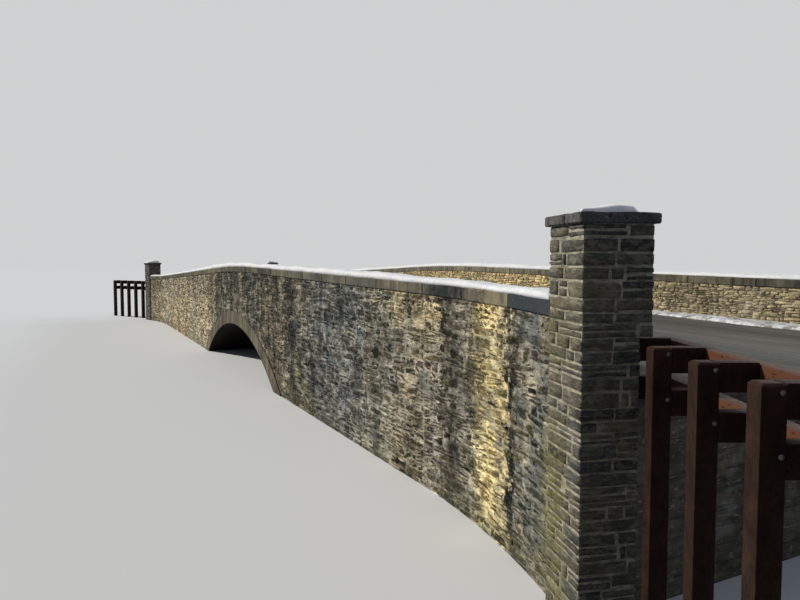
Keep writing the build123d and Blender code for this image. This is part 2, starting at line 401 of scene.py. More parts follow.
def stone_finish(name, stops, smear_color, smear_share, strength, pit_share, stains, side=-1):
    """Split stone with its own tint, bedding lines and pitting, each pit painted near-black as its shade, and
    mortar dragged over its rim.
    """
    finish = Finish(name, 0.92, 0.06)
    rim = finish.attribute("rim")
    mottle = finish.noise((14, 14, 34), 5, rough=0.7)
    grain = finish.noise((36, 36, 85), 4, (6, 1, 3), 0.7)
    bedding = finish.noise((13, 13, 90), 4, rough=0.6)
    smear = (rim * 0.26 + finish.noise((10, 10, 26), 5, (7, 3, 8), 0.75)).between(0.6, 0.68)
    shaded_pits = finish.mask(0.605, 0.64, (19, 19, 46), 4, (2, 9, 3), 0.75) * (rim.between(0.1, 0.6) * 0.7 + 0.3)
    color = finish.layers(
        finish.ramp(finish.attribute("tint"), *stops),
        (1 - mottle.between(0.3, 0.62), 0.75, (0.34, 0.33, 0.32), "MULTIPLY"),
        (bedding.between(0.52, 0.7), 0.25, (0.34, 0.31, 0.25), "SCREEN"),
        (smear, smear_share, smear_color),
        (shaded_pits, pit_share, gap_shade_black),
        (grain.between(0.6, 0.66), 0.3, (0.02, 0.018, 0.015)),
    )
    color = ring_gap_shade(finish, weathered(finish, color, strength, stains, side))
    bumps = (bedding, 0.006), (mottle, 0.009), (smear, 0.003), (1 - shaded_pits, 0.012 * pit_share), (grain, 0.003)
    return finish.done(color, *bumps)


def mortar_finish(name, tone, strength, hollow_share, stains):
    """Rough trowelled mortar with grit and hollows painted near-black as their shade, and painted shade over it on
    the side to the road, where it is nearly gone between the stones.
    """
    finish = Finish(name, 0.95, 0.06)
    grit = finish.noise((35, 35, 80), 4, rough=0.7)
    lumps = finish.noise((13, 13, 30), 4, rough=0.65)
    shaded_slots = finish.mask(0.59, 0.62, (17, 17, 48), 3, (7, 7, 7), 0.65)
    # Painted shade on the side to the road, where the joints are deep and dark
    road_side_shade = (finish.normal()[1] * finish.y * -1).between(0.2, 0.6)
    color = finish.layers(
        finish.ramp(lumps, (0.33, [0.42 * part for part in tone]), (0.6, tone)),
        (grit.between(0.5, 0.66), 0.5, [0.5 * part for part in tone]),
        (shaded_slots, hollow_share, gap_shade_black),
        (road_side_shade, 0.8, (0.12, 0.1, 0.063)),
    )
    color = ring_gap_shade(finish, weathered(finish, color, strength, stains))
    return finish.done(color, (lumps, 0.014), (grit, 0.004), (1 - shaded_slots, 0.016 * hollow_share))


def coping_finish():
    """Sawn slabs, slate grey to tan, with soot, lichen and drip stains."""
    finish = Finish("coping_slab", 0.85)
    blotch = finish.noise(7, 5, rough=0.65)
    drips = finish.mask(0.5, 0.66, (14, 14, 1.0), 3, (1, 5, 2))
    lichen = finish.mask(0.6, 0.68, 40, 4, (8, 0, 3))
    soot = finish.mask(0.46, 0.62, (1.9, 1.9, 0.4), 3, (4, 4, 6))
    color = finish.layers(
        finish.ramp(
            finish.attribute("tint"),
            (0, (0.05, 0.058, 0.066)),
            (0.3, (0.12, 0.117, 0.105)),
            (0.65, (0.23, 0.207, 0.15)),
            (1, (0.36, 0.31, 0.2)),
        ),
        (blotch.between(0.42, 0.66), 0.6, (0.06, 0.06, 0.058)),
        (drips, 0.5, (0.045, 0.042, 0.036)),
        (soot, 0.45, (0.04, 0.04, 0.04)),
        (lichen, 0.15, (0.3, 0.31, 0.28)),
    )
    color = stained(finish, stained(finish, color, near_coping_stains_and_light), far_coping_darker_right, +1)
    return finish.done(color, (blotch, 0.004), (finish.noise(90, 4), 0.0018))


def cap_finish():
    """Rough dark slabs on the pillars, speckled with lichen."""
    finish = Finish("pillar_cap_slab", 0.88)
    cloud = finish.noise(9, 5, rough=0.65)
    crust = finish.noise(60, 5, (3, 3, 3), 0.7)
    color = finish.layers(
        finish.ramp(cloud, (0.3, (0.055, 0.058, 0.06)), (0.7, (0.13, 0.13, 0.125))),
        (crust.between(0.56, 0.66), 0.55, (0.34, 0.35, 0.33)),
        (finish.mask(0.58, 0.66, 45, 3, (9, 9, 1)), 0.7, (0.02, 0.02, 0.02)),
    )
    return finish.done(color, (cloud, 0.008), (crust, 0.004))


def ring_finish(name, damp_and_shade):
    """Smooth cast arch with long brown, green and dark runs; its underside painted near-black and, by the given
    share, the whole barrel painted darker: partly wet grime, partly painted shade.
    """
    finish = Finish(name, 0.85)
    cloud = finish.noise(2.6, 5, rough=0.6)
    brown = finish.mask(0.46, 0.58, (5, 5, 0.7), 3, (2, 2, 9))
    green = finish.mask(0.53, 0.63, (4, 4, 0.6), 3, (6, 1, 2))
    dark = finish.mask(0.5, 0.6, (13, 13, 1.0), 4, (4, 9, 1), 0.65)
    radius = (finish.x - crown_place).length(finish.z - arch_centre)
    # The arch's underside is painted near-black: painted shade, partly wet grime
    soffit_shade = 1 - radius.between(intrados_radius + 0.002, intrados_radius + 0.02)
    color = finish.layers(
        finish.ramp(cloud, (0.3, (0.1, 0.09, 0.072)), (0.52, (0.17, 0.155, 0.118)), (0.75, (0.24, 0.23, 0.185))),
        (brown, 0.6, (0.1, 0.07, 0.05)),
        (green, 0.6, (0.17, 0.17, 0.07)),
        (dark, 0.72, (0.03, 0.028, 0.025)),
        (soffit_shade, 0.86, (0.016, 0.015, 0.013)),
        (cloud.between(0.0, 0.2), damp_and_shade, (0.02, 0.019, 0.017)),
    )
    return finish.done(ring_gap_shade(finish, color), (cloud, 0.006), (finish.noise(60, 4), 0.003))


def end_wall_finish():
    """Board-marked cast wall at the ends of the road, stained dark."""
    finish = Finish("end_wall_concrete", 0.9)
    board = (finish.z * 8.0).fraction().between(0.0, 0.05)
    color = finish.layers(
        finish.ramp(finish.noise(3, 5, rough=0.6), (0.3, (0.11, 0.105, 0.09)), (0.7, (0.2, 0.19, 0.165))),
        (1 - board, 0.5, (0.05, 0.048, 0.042)),
    )
    return finish.done(weathered(finish, color, 0.7, ()), (board, 0.004), (finish.noise(70, 4), 0.002))


def asphalt_finish():
    """Worn asphalt with wheel tracks and fine cracks."""
    finish = Finish("asphalt", 0.9)
    grit = finish.noise(140, 2, rough=0.7)
    tracks = finish.noise((0.12, 1.6, 1), 3, (0, 3, 0))
    cracks = 1 - finish.cells(1.1, (0.7, 1, 1), "DISTANCE_TO_EDGE").between(0.0, 0.012)
    cracks = cracks * finish.mask(0.5, 0.6, 0.6, 2)
    streaks = finish.mask(0.45, 0.68, (0.5, 9, 1), 4, (2, 7, 0), 0.6)
    color = finish.layers(
        finish.ramp(tracks, (0.35, (0.062, 0.063, 0.059)), (0.65, (0.105, 0.105, 0.094))),
        (streaks, 0.42, (0.2, 0.195, 0.175)),
        (grit.between(0.45, 0.7), 0.42, (0.26, 0.26, 0.245)),
        (cracks, 0.8, (0.03, 0.03, 0.03)),
    )
    return finish.done(color, (grit, 0.003), (1 - cracks, 0.004))


def timber_finish():
    """Dark red-brown stained timber, its grain along each piece."""
    finish = Finish("red_brown_timber", 0.7, 0.05)
    grain = finish.attribute("grain", 1)
    worn = finish.attribute("tint").between(0.4, 1.0)
    lines = finish.noise((2.2, 60, 60), 5, rough=0.6, place=grain)
    wide = finish.noise((0.8, 11, 11), 3, (3, 1, 1), place=grain)
    checks = finish.mask(0.66, 0.72, (1.1, 75, 75), 2, (1, 9, 4), place=grain)
    upward = finish.normal()[2].between(0.6, 0.9)
    color = finish.layers(
        finish.ramp(wide, *timber_stops),
        (lines.between(0.45, 0.7), 0.5, (0.016, 0.008, 0.006)),
        (worn, 0.75, (0.19, 0.078, 0.042)),
        (upward * (worn * 0.7 + 0.15), 1, (0.07, 0.045, 0.036)),
        (checks, 0.85, (0.012, 0.006, 0.005)),
    )
    finish.link("Roughness", lines.between(0.3, 0.8) * 0.25 + 0.5)
    return finish.done(color, (lines, 0.0025), (1 - checks, 0.003))


def snow_finish(name, dirt=0.0, shade=(0.62, 0.66, 0.73), light=(0.8, 0.81, 0.83)):
    """Old snow with a soft crust, and road dirt in it at the kerb."""
    finish = Finish(name, 0.7, 0.2)
    crust = finish.noise(14, 5, rough=0.6)
    grime = finish.mask(0.44, 0.62, 9, 5, (3, 1, 7), 0.75)
    color = finish.layers(finish.ramp(crust, (0.3, shade), (0.7, light)), (grime, dirt, (0.13, 0.12, 0.1)))
    return finish.done(color, (crust, 0.006), (finish.noise(120, 2), 0.001))


def bolt_finish():
    """Galvanised bolt heads, dulled."""
    finish = Finish("bolt_steel", 0.5)
    finish.shader["Metallic"].default_value = 0.8
    spots = finish.noise(60, 3)
    return finish.done(finish.ramp(spots, (0.3, (0.04, 0.04, 0.04)), (0.7, (0.12, 0.12, 0.115))), (spots, 0.001))


def fill_finish():
    """Packed gravel and earth under the road."""
    finish = Finish("packed_fill", 0.95)
    pebbles = finish.cells(22)
    return finish.done(finish.ramp(pebbles, (0.1, (0.16, 0.13, 0.1)), (0.8, (0.36, 0.31, 0.24))), (pebbles, 0.02))


def silt_finish():
    """Black wet silt at the back of a weep pipe."""
    finish = Finish("weep_silt", 0.6)
    return finish.done(finish.ramp(finish.noise(80, 3), (0.3, (0.006, 0.006, 0.005)), (0.7, (0.02, 0.017, 0.013))))

rubble_stops = [
    (0.00, (0.025, 0.025, 0.025)),
    (0.15, (0.075, 0.071, 0.063)),
    (0.28, (0.17, 0.145, 0.1)),
    (0.42, (0.125, 0.085, 0.075)),
    (0.56, (0.23, 0.195, 0.12)),
    (0.7, (0.13, 0.125, 0.07)),
    (0.84, (0.19, 0.177, 0.145)),
    (1.00, (0.33, 0.3, 0.225)),
]
parapet_stops = [
    (0.00, (0.26, 0.215, 0.13)),
    (0.25, (0.5, 0.41, 0.25)),
    (0.5, (0.4, 0.34, 0.225)),
    (0.75, (0.66, 0.55, 0.33)),
    (1.00, (0.54, 0.46, 0.3)),
]
timber_stops = [(0.3, (0.015, 0.008, 0.006)), (0.6, (0.029, 0.0145, 0.011)), (0.8, (0.052, 0.023, 0.017))]
pillar_stops = [
    (0.00, (0.05, 0.053, 0.056)),
    (0.3, (0.1, 0.103, 0.1)),
    (0.55, (0.15, 0.14, 0.108)),
    (0.8, (0.115, 0.118, 0.118)),
    (1.00, (0.22, 0.195, 0.13)),
]
rubble = stone_finish("rubble_stone", rubble_stops, (0.5, 0.47, 0.39), 0.85, 1.0, 0.9, near_stains_and_dappled_light)
parapet_rubble = stone_finish("parapet_rubble", parapet_stops, (0.56, 0.5, 0.34), 0.7, 0.3, 0.8, road_face_clean_and_sunlit, +1)
pillar_stone = stone_finish("pillar_stone", pillar_stops, (0.36, 0.345, 0.27), 0.3, 0.25, 0.0, ())
wall_mortar = mortar_finish("wall_mortar", (0.59, 0.56, 0.475), 1.0, 0.92, near_stains_and_dappled_light)
pillar_mortar = mortar_finish("pillar_mortar", (0.45, 0.43, 0.36), 0.25, 0.3, ())
slab_stone = coping_finish()
cap_stone = cap_finish()
ring_concrete = ring_finish("ring_concrete", 0.0)
# The barrel is painted darker all over: partly wet grime, partly painted shade under the vault
barrel_concrete = ring_finish("barrel_concrete", 0.82)
asphalt = asphalt_finish()
timber = timber_finish()
snow = snow_finish("settled_snow")
# Paler copy of the snow for the pillar caps: painted light, so that the mound's shaded sides read bright
brightened_cap_snow = snow_finish("brightened_cap_snow", 0.0, (0.84, 0.88, 0.93), (0.93, 0.94, 0.96))
kerb_snow = snow_finish("kerb_snow", 0.8)
bolt_steel = bolt_finish()
weep_silt = silt_finish()

add_to_scene = bpy.context.scene.collection.objects.link


def new_mesh(name, points, faces=()):
    mesh = bpy.data.meshes.new(name)
    mesh.from_pydata([tuple(point) for point in points], [], [tuple(face) for face in faces])
    return mesh


def to_mesh(shape, name):
    mesh = bpy.data.meshes.new(name)
    shape.to_mesh(mesh)
    shape.free()
    return mesh


def seat(name, mesh, material=None, replaces=(), smooth=True):
    """A piece in place, riding on the bridge. Without a material here the mesh brings its own."""
    if material:
        mesh.materials.append(material)
        (mesh.shade_smooth if smooth else mesh.shade_flat)()
    piece = bpy.data.objects.new(name, mesh)
    add_to_scene(piece)
    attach(piece, "root")
    if replaces:
        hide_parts(*replaces)
    return piece


def set_attribute(mesh, name, values):
    """Store one number or one vector a point."""
    values = np.asarray(values, np.float32)
    kind, key = ("FLOAT", "value") if values.ndim == 1 else ("FLOAT_VECTOR", "vector")
    mesh.attributes.new(name, kind, "POINT").data.foreach_set(key, values.ravel())


def grid_faces(rows, columns, ring=True, start=0):
    """Faces between rows of points, with each row a ring or open."""
    faces = []
    for row in range(rows - 1):
        for column in range(columns if ring else columns - 1):
            a = start + row * columns + column
            b = start + row * columns + (column + 1) % columns
            faces.append((a, b, b + columns, a + columns))
    return faces


def oval(centre, across, half_width, half_height, spokes):
    """Points of an upright oval about its centre."""
    angles = [2 * pi * spoke / spokes for spoke in range(spokes)]
    return [centre + across * (half_width * cos(a)) + Vector((0, 0, half_height * sin(a))) for a in angles]


def pillow_blank():
    """Face of one rubble stone: its rim lies behind the mortar and its middle stands out at y = -1."""
    columns = (-0.5, -0.42, 0.04, 0.43, 0.5)
    rows = (-0.5, -0.37, 0.03, 0.38, 0.5)
    points, rims = [], []
    for w in rows:
        for u in columns:
            edge = max(abs(u), abs(w))
            depth, rim = (0.6, 1.0) if edge > 0.49 else (-0.72, 0.5) if edge > 0.3 else (-1.0, 0.0)
            points.append((u, depth, w))
            rims.append(rim)
    mesh = new_mesh("pillow_stone", points, grid_faces(len(rows), len(columns), ring=False))
    set_attribute(mesh, "rim", rims)
    return bpy.data.objects.new("pillow_stone", mesh)


def squared_blank():
    """Squared block with eased edges, for the pillars."""
    box = bmesh.new()
    bmesh.ops.create_cube(box, size=1.0)
    bmesh.ops.bevel(box, geom=box.edges[:], offset=0.045, segments=1, affect="EDGES")
    long_edges = [edge for edge in box.edges if edge.calc_length() > 0.5]
    bmesh.ops.subdivide_edges(box, edges=long_edges, cuts=1, use_grid_fill=True)
    mesh = to_mesh(box, "squared_stone")
    set_attribute(mesh, "rim", [0.0 if max(map(abs, v.co)) < 0.4 else 0.5 for v in mesh.vertices])
    return bpy.data.objects.new("squared_stone", mesh)


def bolt_blank():
    """Domed bolt head on its washer, of radius 1, standing out along -Y."""
    profile = ((0.42, -0.52), (0.66, -0.22), (0.68, -0.12), (1.0, -0.1), (1.0, 0.1))
    spokes = 10
    points = [(0.0, -0.62, 0.0)]
    for radius, depth in profile:
        points += oval(Vector((0, depth, 0)), Vector((1, 0, 0)), radius, radius, spokes)
    faces = [(0, 1 + spoke, 1 + (spoke + 1) % spokes) for spoke in range(spokes)]
    faces += [(a, d, c, b) for a, b, c, d in grid_faces(len(profile), spokes, start=1)]
    return bpy.data.objects.new("bolt_head", new_mesh("bolt_head", points, faces))


def stone_layer():
    """Geometry Nodes tree that sets a stone on each point and roughens it."""
    tree = bpy.data.node_groups.new("lay_stones", "GeometryNodeTree")
    add_socket = tree.interface.new_socket
    kinds = {"Blank": "Object", "Raggedness": "Float", "Ripple": "Float", "Material": "Material"}
    for name, kind in {"Geometry": "Geometry", **kinds}.items():
        add_socket(name, in_out="INPUT", socket_type="NodeSocket" + kind)
    add_socket("Geometry", in_out="OUTPUT", socket_type="NodeSocketGeometry")
    given = {name: Wire(tree, socket) for name, socket in tree.nodes.new("NodeGroupInput").outputs.items()}
    node = Wire(tree).node

    def named(name, kind):
        return node("GeometryNodeInputNamedAttribute", {"data_type": kind}, {"Name": name}, "Attribute")

    blank = node("GeometryNodeObjectInfo", {}, {"Object": given["Blank"], "As Instance": True}, "Geometry")
    sockets = {"Points": given["Geometry"], "Instance": blank, "Scale": named("size", "FLOAT_VECTOR")}
    sockets["Rotation"] = node("FunctionNodeEulerToRotation", {}, {"Euler": named("turn", "FLOAT_VECTOR")})
    stones = node("GeometryNodeInstanceOnPoints", {}, sockets)
    stones = node("GeometryNodeRealizeInstances", {}, {"Geometry": stones})
    sockets = {"W": named("tint", "FLOAT") * 90.0, "Scale": given["Ripple"], "Detail": 1.0}
    ripple = node("ShaderNodeTexNoise", {"noise_dimensions": "4D"}, sockets, "Color")
    centred = node("ShaderNodeVectorMath", {"operation": "SUBTRACT"}, {0: ripple, 1: (0.5, 0.5, 0.5)})
    offset = node("ShaderNodeVectorMath", {"operation": "SCALE"}, {0: centred, "Scale": given["Raggedness"]})
    stones = node("GeometryNodeSetPosition", {}, {"Geometry": stones, "Offset": offset})
    stones = node("GeometryNodeSetShadeSmooth", {}, {"Geometry": stones})
    stones = node("GeometryNodeSetMaterial", {}, {"Geometry": stones, "Material": given["Material"]})
    tree.links.new(stones.socket, tree.nodes.new("NodeGroupOutput").inputs["Geometry"])
    return tree


stone_tree = stone_layer()
pillow = pillow_blank()
squared = squared_blank()
bolt_head = bolt_blank()


def lay(name, stones, blank, material, raggedness, ripple):
    """Set stones given as rows of place, size, turn, tint and roll, and keep the result as a plain mesh."""
    points, sizes, turns, tints, rolls = zip(*stones)
    places = new_mesh(name + "_places", points)
    set_attribute(places, "size", sizes)
    set_attribute(places, "turn", [(0, roll, turn) for roll, turn in zip(rolls, turns)])
    set_attribute(places, "tint", tints)
    holder = bpy.data.objects.new(name + "_places", places)
    add_to_scene(holder)
    layer = holder.modifiers.new("stones", "NODES")
    layer.node_group = stone_tree
    values = {"Blank": blank, "Raggedness": raggedness, "Ripple": ripple, "Material": material}
    for socket in stone_tree.interface.items_tree:
        if socket.in_out == "INPUT" and socket.name in values:
            layer[socket.identifier] = values[socket.name]
    bpy.context.view_layer.update()
    mesh = bpy.data.meshes.new_from_object(holder.evaluated_get(bpy.context.evaluated_depsgraph_get()))
    bpy.data.objects.remove(holder)
    mesh.name = name
    return seat(name, mesh)


def parts(split, cut):
    """A whole stone, or its two parts."""
    return ((0.0, cut), (cut, 1.0)) if split else ((0.0, 1.0),)


def rubble_cells(rng, start, stop, high, courses, lengths):
    """Coursed rubble between two stations, up to a height: rows of stone centre, length and height."""
    cells = []
    course = 0.0
    while course < high - 0.012:
        height = min(rng.uniform(*courses), high - course)
        if high - course - height < 0.02:
            height = high - course
        station = start
        while station < stop:
            split_course = rng.random() < 0.42
            length = min(rng.uniform(*lengths), stop - station)
            if not split_course and rng.random() < 0.3:
                length *= 0.5
            if stop - station - length < 0.05:
                length = stop - station
            cut = rng.uniform(0.36, 0.64)
            for bottom, top in parts(split_course, cut):
                halves = split_course and rng.random() < 0.5 and length > 0.13
                middle = rng.uniform(0.35, 0.65)
                for first, last in parts(halves, middle):
                    centre = station + length * (first + last) / 2
                    level = course + height * (bottom + top) / 2
                    cells.append((centre, level, length * (last - first), height * (top - bottom)))
            station += length
        course += height
    return cells


# Height that the outer courses are counted over before the grade stretches them, room round a weep hole, and
# the share of stones that are gone
outer_height = 1.8
weep_room = (0.034, 0.036)
lost_share = 0.03
inner_height = parapet_height - coping_thickness


def outer_stones(name, side, start, stop, seed):
    """Rubble stones of one stretch of a wall's outer face, its courses rising with the grade."""
    rng = np.random.default_rng(seed)
    stones = []

    def course(station, level):
        stretch = (grade(face_point(side, station, 0.0)[0]) - coping_thickness) / outer_height
        wave = 0.026 * sin(station * 2.3 + level * 2) * sin(level * 4.7 + 1)
        wave += 0.012 * sin(station * 7.1 + level * 9)
        return level * stretch + wave * min(1.0, level / 0.2, (outer_height - level) / 0.2), stretch

    def left_out(station, z, length, height):
        """Whether a stone would cover a weep hole, or has fallen out."""
        for place, rise in weep_places:
            if abs(station - place) - length / 2 < weep_room[0] and abs(z - rise) - height / 2 < weep_room[1]:
                return True
        return side < 0 and any(hypot(station - place, z - rise) < radius + 0.01 for place, rise, radius in hollows)

    cells = rubble_cells(rng, start, stop, outer_height, (0.045, 0.105), (0.12, 0.4))
    for station, level, length, height in cells:
        x, y = face_point(side, station, 0.0)
        z, stretch = course(station, level)
        slope = (course(station + 0.05, level)[0] - z) / 0.05
        from_ring = hypot(station, z - arch_centre) - extrados_radius
        if from_ring < -0.02 or rng.random() < lost_share:
            continue
        if left_out(station, z, length, height):
            continue
        proud = rng.uniform(0.002, 0.009) * (0.6 if from_ring < 0.14 else 1.0)
        size = (length - rng.uniform(0.008, 0.022), proud, height * stretch - rng.uniform(0.006, 0.015))
        if min(size) < 0.003:
            continue
        turn = face_turn(side, station) + (0 if side < 0 else pi)
        roll = side * atan2(slope, 1) + rng.normal(0, 0.035 if length > 0.16 else 0.14)
        if z < 0.14:
            roll *= 0.1
        stones.append(((x, y, z), size, turn + rng.normal(0, 0.01), rng.random(), roll))
    return lay(name, stones, pillow, rubble, raggedness=0.026, ripple=22.0)


def parapet_stones(name, side, start, stop, seed):
    """Thinner stones of the parapet's face to the road."""
    rng = np.random.default_rng(seed)
    stones = []
    cells = rubble_cells(rng, start, stop, inner_height, (0.028, 0.06), (0.06, 0.22))
    for station, level, length, height in cells:
        x, y = face_point(side, station, wall_thickness)
        wave = 0.02 * sin(station * 3.1 + level * 4) * sin(level * 7 + 1) + 0.012 * sin(station * 8.3 + level * 11)
        z = grade(x) - parapet_height + level + wave * min(1.0, level / 0.1, (inner_height - level) / 0.1)
        size = (length - rng.uniform(0.004, 0.018), rng.uniform(0.004, 0.012), height - rng.uniform(0.003, 0.012))
        turn = face_turn(side, station) + (pi if side < 0 else 0)
        roll = rng.normal(0, 0.04 if length > 0.1 else 0.16)
        stones.append(((x, y, z), size, turn, rng.random(), roll))
    return lay(name, stones, pillow, parapet_rubble, raggedness=0.024, ripple=24.0)


for number, (side, end) in enumerate(corners):
    word = corner_names[side, end]
    straight, face_end = end * straights[side, end], end * face_ends[side, end]
    outer_stones(f"{word}_spandrel_stones", side, *sorted((0.0, straight)), 11 + number)
    outer_stones(f"{word}_wing_stones", side, *sorted((straight, face_end)), 21 + number)
    parapet_stones(f"{word}_parapet_stones", side, *sorted((0.0, face_end)), 31 + number)


def pillar_frame(side, end):
    """Centre of a pillar in plan, and the turn of its faces."""
    end_x, end_y = face_point(side, end * face_ends[side, end], 0)
    turn = side * end * flare_angle
    along = Vector((end * cos(flare_angle), side * sin(flare_angle), 0))
    outward = Vector((-end * sin(flare_angle), side * cos(flare_angle), 0))
    centre = Vector((end_x, end_y, 0)) + along * (pillar_side / 2)
    return centre + outward * (pillar_proud - pillar_side / 2), along, outward, turn


def spaced(edges, joint):
    """Stretches between cuts, with half a joint off at each inner cut and none at the outer ends."""
    last = len(edges) - 2
    return [
        (edges[n] + (joint / 2 if n > 0 else 0), edges[n + 1] - (joint / 2 if n < last else 0))
        for n in range(last + 1)
    ]


def pillar_stones(side, end, seed):
    """Squared stones in two rows a course, laid along or across, narrower on the road side below the rails."""
    rng = np.random.default_rng(seed)
    centre, along, outward, turn = pillar_frame(side, end)
    top = end_heights[end] + pillar_rise - cap_thickness
    recess_top = end_heights[end] - parapet_height + recess_rise
    reach = pillar_side / 2 + 0.006
    stones = []
    level = 0.0
    while level < top - 0.01:
        height = rng.uniform(0.06, 0.1) if rng.random() < 0.9 else rng.uniform(0.03, 0.04)
        for stop in (recess_top, top):
            if level < stop and stop - level - height < 0.026:
                height = stop - level
        back = -reach + (recess_depth if level < recess_top - 0.005 else 0)
        lengthwise = rng.random() < 0.5
        row_span, stone_span = ((back, reach), (-reach, reach)) if lengthwise else ((-reach, reach), (back, reach))
        row_axis, stone_axis = (outward, along) if lengthwise else (along, outward)
        rows = spaced([row_span[0], rng.uniform(-0.1, 0.1), row_span[1]], 0.01)
        for row_low, row_high in rows:
            count = rng.choice([1, 2, 2, 3, 3])
            cuts = np.sort(rng.uniform(stone_span[0] * 0.6, stone_span[1] * 0.6, count - 1))
            for low, high in spaced([stone_span[0], *cuts, stone_span[1]], rng.uniform(0.01, 0.026)):
                if high - low < 0.03:
                    continue
                cut = rng.uniform(0.36, 0.64)
                beds = parts(height > 0.07 and rng.random() < 0.28, cut)
                place = centre + stone_axis * ((low + high) / 2) + row_axis * ((row_low + row_high) / 2)
                lengths = (high - low, row_high - row_low)[:: 1 if lengthwise else -1]
                for bottom, bed_top in beds:
                    thick = height * (bed_top - bottom) - rng.uniform(0.008, 0.02)
                    jitter = rng.uniform(-0.004, 0.004, 2)
                    size = (lengths[0] + jitter[0], lengths[1] + jitter[1], thick)
                    middle = level + height * (bottom + bed_top) / 2 + rng.normal(0, 0.0015)
                    stones.append(((place.x, place.y, middle), size, turn, rng.random(), 0))
        level += height
    name = corner_names[side, end] + "_pillar_stones"
    return lay(name, stones, squared, pillar_stone, raggedness=0.02, ripple=16.0)


for number, (side, end) in enumerate(corners):
    pillar_stones(side, end, 70 + number)


def strip_mesh(sections):
    """Points and faces of a tube through sections that hold the same number of points, with flat ends."""
    points = [point for section in sections for point in section]
    count = len(sections[0])
    faces = grid_faces(len(sections), count)
    faces.append(tuple(reversed(range(count))))
    faces.append(tuple(range(len(points) - count, len(points))))
    return points, faces


# Coping slabs: eased edge, half of an open joint and usual length; then the joints and tints seen on the right
ease, half_joint, slab_length = 0.007, 0.003, 0.8
middle_joints, right_joints, right_tints = [5.95, 6.82], [8.55, 9.35], [0.45, 0.85, 0.0]


def slab_run(node, side, cuts, seed, tints=None):
    """Coping slabs between the joints of one wall, each with eased edges and an open joint."""
    rng = np.random.default_rng(seed)
    bottom = -coping_thickness
    points, faces, point_tints = [], [], []
    for number, (first, last) in enumerate(zip(cuts[:-1], cuts[1:])):
        lift = rng.uniform(-0.003, 0.002)
        slide = rng.uniform(-0.003, 0.003)
        tint = tints[number] if tints else rng.uniform(0.35 if side < 0 else 0.5, 0.85)
        first, last = first + half_joint, last - half_joint
        sections = []
        for station, shrink in (
            (first, ease),
            (first + ease, 0.0),
            *[(first + (last - first) * share, 0.0) for share in (0.25, 0.5, 0.75)],
            (last - ease, 0.0),
            (last, ease),
        ):
            low, high = shrink - coping_overhang, wall_thickness + coping_overhang - shrink
            outline = (
                (low, bottom + ease),
                (low, -ease),
                (low + ease, -shrink),
                (high - ease, -shrink),
                (high, -ease),
                (high, bottom + ease),
                (high - ease, bottom + shrink),
                (low + ease, bottom + shrink),
            )
            section = []
            for inset, depth in outline:
                x, y = face_point(side, station, inset + slide)
                base = grade(face_point(side, station, inset)[0])
                section.append((x, y, base + depth + lift + 0.0015 * rng.normal()))
            sections.append(section)
        made, sides = strip_mesh(sections)
        if side > 0:
            sides = [tuple(reversed(face)) for face in sides]
        faces += [tuple(index + len(points) for index in face) for face in sides]
        points += made
        point_tints += [tint] * len(made)
    name = node + "_slabs"
    piece = seat(name, new_mesh(name, points, faces), slab_stone, [node], smooth=False)
    set_attribute(piece.data, "tint", point_tints)


def joints(start, stop, seed):
    """Uneven joints between slabs of about the usual length."""
    count = max(1, round((stop - start) / slab_length))
    cuts = np.linspace(start, stop, count + 1)
    cuts[1:-1] += np.random.default_rng(seed).uniform(-0.1, 0.1, count - 1)
    return list(cuts)


for side, word in side_names.items():
    left, right = -straights[side, -1], straights[side, +1]
    middle = [*joints(left, middle_joints[0], 31 + side), middle_joints[1], right]
    slab_run(f"{word}_middle_coping", side, middle, 31 + side)
    slab_run(f"{word}_right_coping", side, [right, *right_joints, face_ends[side, +1]], 41 + side, right_tints)
    slab_run(f"{word}_left_coping", side, joints(-face_ends[side, -1], left, 51 + side), 51 + side)


def cap_slabs(side, end, seed):
    """Two thick flat slabs side by side on a pillar."""
    rng = np.random.default_rng(seed)
    centre, along, outward, _ = pillar_frame(side, end)
    half = pillar_side / 2 + cap_overhang
    top = end_heights[end] + pillar_rise
    cut = rng.uniform(-0.04, 0.06)
    slabs = bmesh.new()
    for first, last in ((-half, cut - 0.002), (cut + 0.002, half)):
        made = bmesh.ops.create_cube(slabs, size=1.0)["verts"]
        for vert in made:
            u = (first + last) / 2 + vert.co.x * (last - first)
            place = centre + along * u + outward * (vert.co.y * 2 * half)
            vert.co = Vector((place.x, place.y, top - cap_thickness / 2 + vert.co.z * cap_thickness))
    bmesh.ops.subdivide_edges(slabs, edges=slabs.edges[:], cuts=5, use_grid_fill=True)
    bmesh.ops.recalc_face_normals(slabs, faces=slabs.faces[:])
    sharp = [edge for edge in slabs.edges if edge.calc_face_angle(0) > 1.0]
    bmesh.ops.bevel(slabs, geom=sharp, offset=0.006, segments=2, affect="EDGES")
    for vert in slabs.verts:
        vert.co += Vector(rng.normal(0, 0.0011, 3))
    node = corner_names[side, end] + "_pillar_cap"
    return seat(node + "_slabs", to_mesh(slabs, node + "_slabs"), cap_stone, [node])


def snow_piece(name, sections, material):
    """Snow through the given sections, its faces turned outwards."""
    mesh = new_mesh(name, *strip_mesh(sections))
    shape = bmesh.new()
    shape.from_mesh(mesh)
    bmesh.ops.recalc_face_normals(shape, faces=shape.faces[:])
    shape.to_mesh(mesh)
    shape.free()
    return seat(name, mesh, material)


